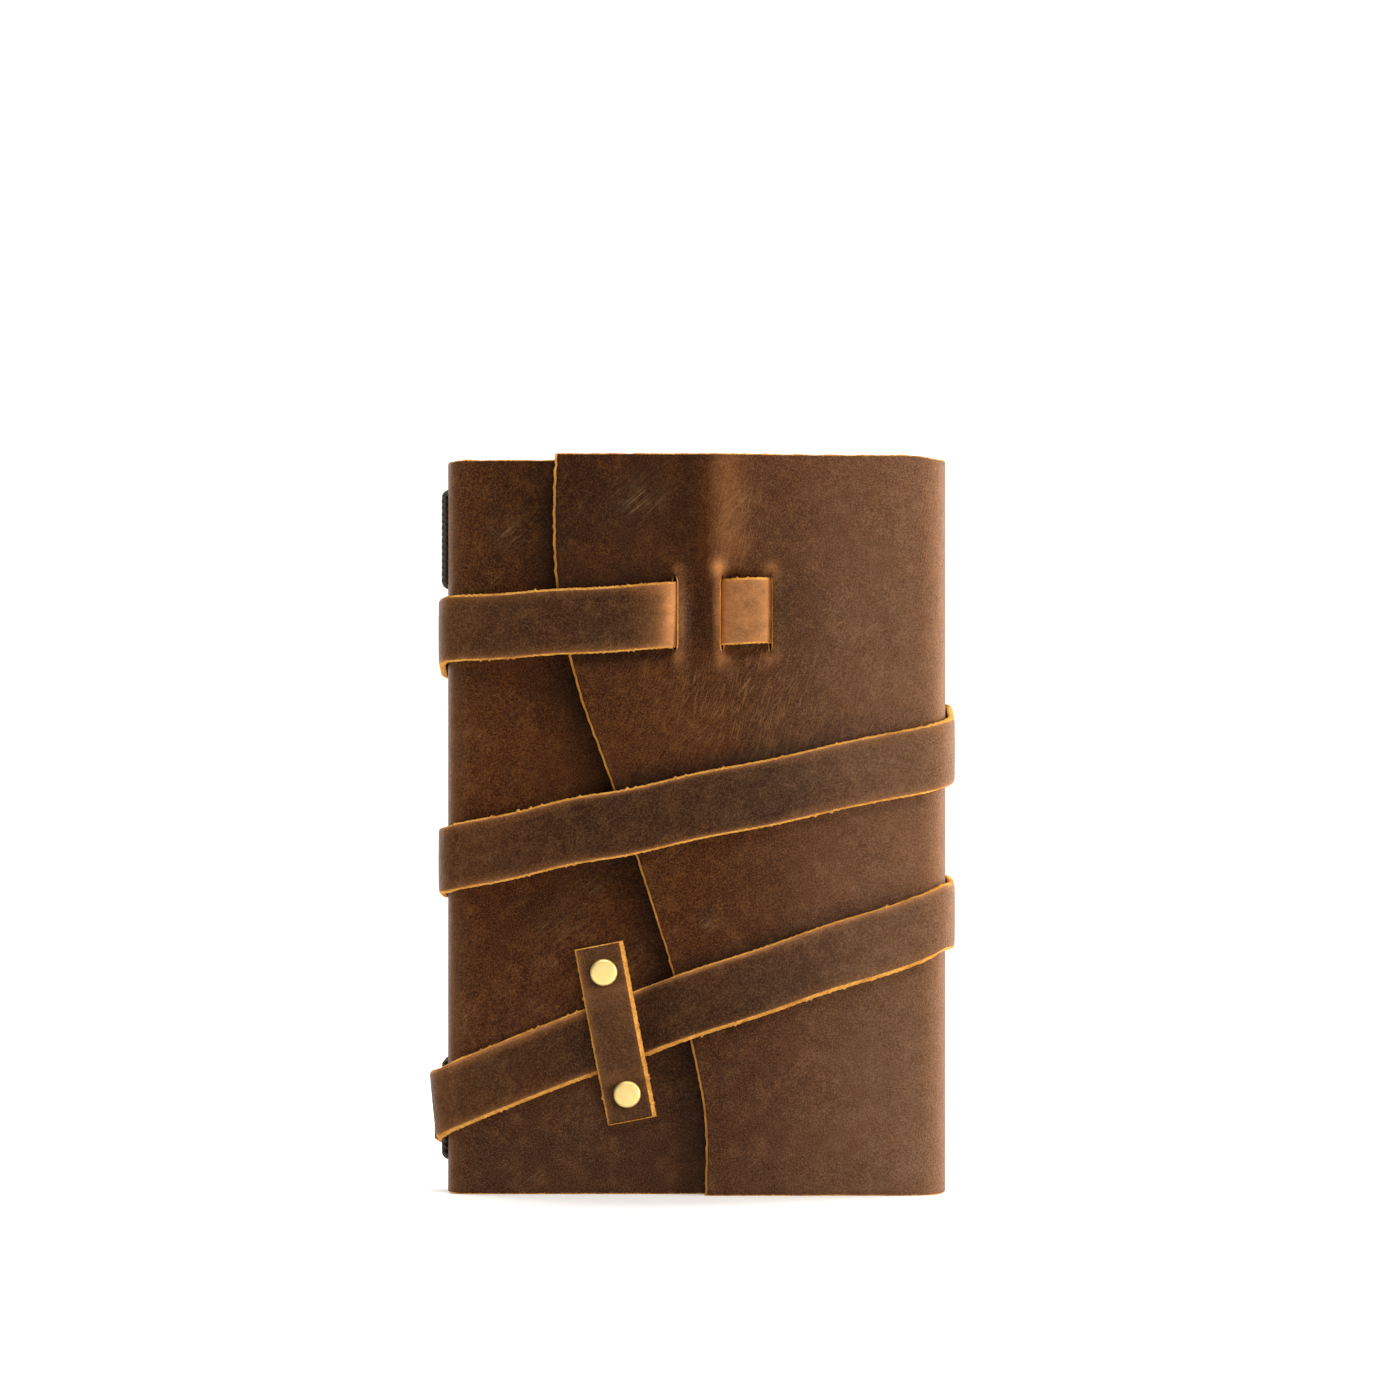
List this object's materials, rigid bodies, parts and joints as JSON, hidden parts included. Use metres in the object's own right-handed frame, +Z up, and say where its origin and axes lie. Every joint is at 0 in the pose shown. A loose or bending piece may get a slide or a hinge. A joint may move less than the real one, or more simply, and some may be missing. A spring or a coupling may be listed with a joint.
{
  "type": "leather notebook cover",
  "caption": "Leather journal wrap with a fold-over flap, sewn-in pages and a long strap that winds round it and passes under a riveted keeper.",
  "frame": {"origin": "middle of the closed journal's footprint, at the level of the bottom edges that it stands on", "axes": "+Z up along the spine, +X from the spine to the fore-edge, +Y from the front (flap) side to the back"},
  "size_m": [0.1505, 0.0318, 0.213],
  "materials": {
    "wrap_leather": "waxed pull-up leather, dark brown with paler burnished rubs, raw tan cut edges",
    "strap_leather": "the same hide, with bevelled raw tan edges",
    "binding_cord": "waxed black-brown twisted cord",
    "paper": "uncoated cream paper with slightly rough edges",
    "rivet_brass": "satin antique brass"
  },
  "bodies": {
    "root": {"back_cover": "wrap_leather", "spine_panel": "wrap_leather", "signature_1": "paper", "signature_2": "paper", "signature_3": "paper", "signature_4": "paper", "binding_cord_1": "binding_cord", "binding_cord_2": "binding_cord", "binding_cord_3": "binding_cord", "binding_cord_4": "binding_cord"},
    "front_cover": {"front_cover": "wrap_leather", "keeper_loop": "strap_leather", "rivet_cap_upper": "rivet_brass", "rivet_post_upper": "rivet_brass", "rivet_cap_lower": "rivet_brass", "rivet_post_lower": "rivet_brass"},
    "front_leaves": {"first_signature_front_leaves": "paper"},
    "fore_edge": {"fore_edge_panel": "wrap_leather"},
    "flap": {"flap": "wrap_leather", "strap_woven_end": "strap_leather", "strap_back_upper": "strap_leather", "strap_front_middle": "strap_leather", "strap_back_middle": "strap_leather", "strap_front_lower": "strap_leather", "strap_tail": "strap_leather"}
  },
  "joints": [
    {"name": "cover_fold", "type": "hinge", "parent": "root", "child": "front_cover", "pos_m": [-0.0667, -0.008, 0.1], "axis": [0, 0, -1], "range_deg": [0, 175], "deforming": ["flap", "strap_woven_end", "strap_back_upper", "strap_front_middle", "strap_back_middle", "strap_front_lower", "strap_tail"]},
    {"name": "leaves_turn", "type": "hinge", "parent": "root", "child": "front_leaves", "pos_m": [-0.0667, -0.008, 0.1], "axis": [0, 0, -1], "range_deg": [0, 162]},
    {"name": "fore_edge_fold", "type": "hinge", "parent": "root", "child": "fore_edge", "pos_m": [0.06865, 0.01055, 0.1], "axis": [0, 0, 1], "range_deg": [0, 90]},
    {"name": "flap_fold", "type": "hinge", "parent": "fore_edge", "child": "flap", "pos_m": [0.06865, -0.01055, 0.1], "axis": [0, 0, 1], "range_deg": [0, 90]}
  ],
  "couplings": [
    {"joint": "leaves_turn", "follows": "cover_fold", "ratio": 0.92},
    {"joint": "fore_edge_fold", "follows": "cover_fold", "ratio": 0.51},
    {"joint": "flap_fold", "follows": "cover_fold", "ratio": 0.51}
  ]
}
